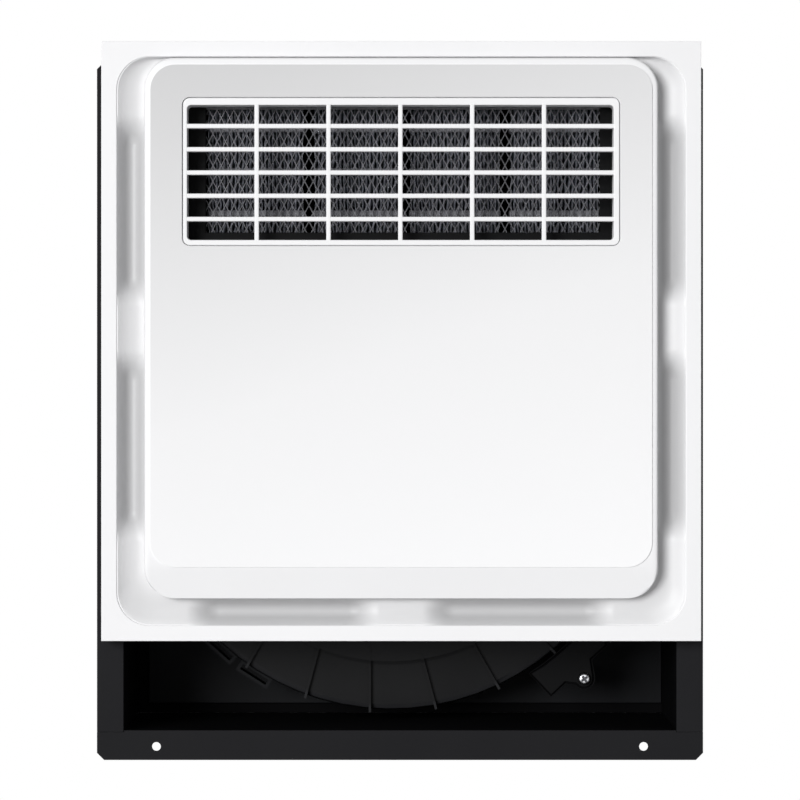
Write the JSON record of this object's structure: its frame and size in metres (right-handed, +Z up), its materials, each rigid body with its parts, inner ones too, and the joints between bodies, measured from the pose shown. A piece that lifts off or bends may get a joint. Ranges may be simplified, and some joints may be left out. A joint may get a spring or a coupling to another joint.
{
  "type": "bathroom fan heater",
  "caption": "Square white ceiling panel with an outlet grille, over a black sheet housing that holds a centrifugal blower and a finned electric air heater.",
  "frame": {"origin": "middle of the fixing flange, on the face that seats against the ceiling", "axes": "+X right and +Z up as pictured, -Y out of the panel into the room; fitted in a ceiling, -Y points down"},
  "size_m": [0.3054, 0.1238, 0.3609],
  "materials": {
    "black_steel": "satin black paint",
    "screw_zinc": "bright zinc",
    "spring_steel": "bright spring steel",
    "panel_white": "smooth white",
    "plastic_black": "moulded black",
    "pad_rubber": "matt",
    "motor_steel": "zinc plated can",
    "shaft_steel": "ground steel",
    "galvanised": "galvanised sheet",
    "mesh_steel": "grey wire mesh",
    "heater_aluminium": "folded fin",
    "pale_plastic": "matt"
  },
  "bodies": {
    "housing": {"housing_body": "black_steel", "end_plate_bottom": "black_steel", "end_plate_top": "black_steel", "end_plate_screw_bottom_left": "screw_zinc", "end_plate_screw_bottom_right": "screw_zinc", "end_plate_screw_top_left": "screw_zinc", "end_plate_screw_top_right": "screw_zinc", "scroll_base": "plastic_black", "scroll_cover": "plastic_black", "wiring_cover": "plastic_black", "wiring_cover_screw": "screw_zinc", "motor_body": "motor_steel", "motor_pad_1": "pad_rubber", "motor_screw_1": "screw_zinc", "motor_pad_2": "pad_rubber", "motor_screw_2": "screw_zinc", "motor_pad_3": "pad_rubber", "motor_screw_3": "screw_zinc", "outlet_duct": "galvanised", "duct_screw_left": "screw_zinc", "duct_screw_right": "screw_zinc", "heater_frame": "plastic_black", "guard_mesh": "mesh_steel", "heating_element_1": "heater_aluminium", "heating_element_2": "heater_aluminium", "heating_element_3": "heater_aluminium", "heating_element_4": "heater_aluminium", "thermal_cutout": "pale_plastic", "terminal_box": "plastic_black", "terminal_block": "pale_plastic", "terminal_lid": "plastic_black", "terminal_lid_screw": "screw_zinc", "cable_gland": "plastic_black", "gland_nut": "plastic_black", "motor_capacitor": "pale_plastic", "capacitor_clamp": "galvanised"},
    "panel": {"panel_frame": "panel_white", "cover_plate": "panel_white", "outlet_grille": "panel_white", "panel_clip_lower_left": "spring_steel", "clip_screw_lower_left": "screw_zinc", "panel_clip_lower_right": "spring_steel", "clip_screw_lower_right": "screw_zinc", "panel_clip_upper_left": "spring_steel", "clip_screw_upper_left": "screw_zinc", "panel_clip_upper_right": "spring_steel", "clip_screw_upper_right": "screw_zinc"},
    "blower": {"impeller": "plastic_black", "motor_shaft": "shaft_steel", "impeller_nut": "shaft_steel"}
  },
  "joints": [
    {"name": "panel_pull", "type": "slide", "parent": "housing", "child": "panel", "axis": [0, -1, 0], "range_m": [0, 0.04]},
    {"name": "impeller_spin", "type": "hinge", "parent": "housing", "child": "blower", "pos_m": [0.01, 0.07, -0.01585], "axis": [0, -1, 0], "continuous": true}
  ]
}
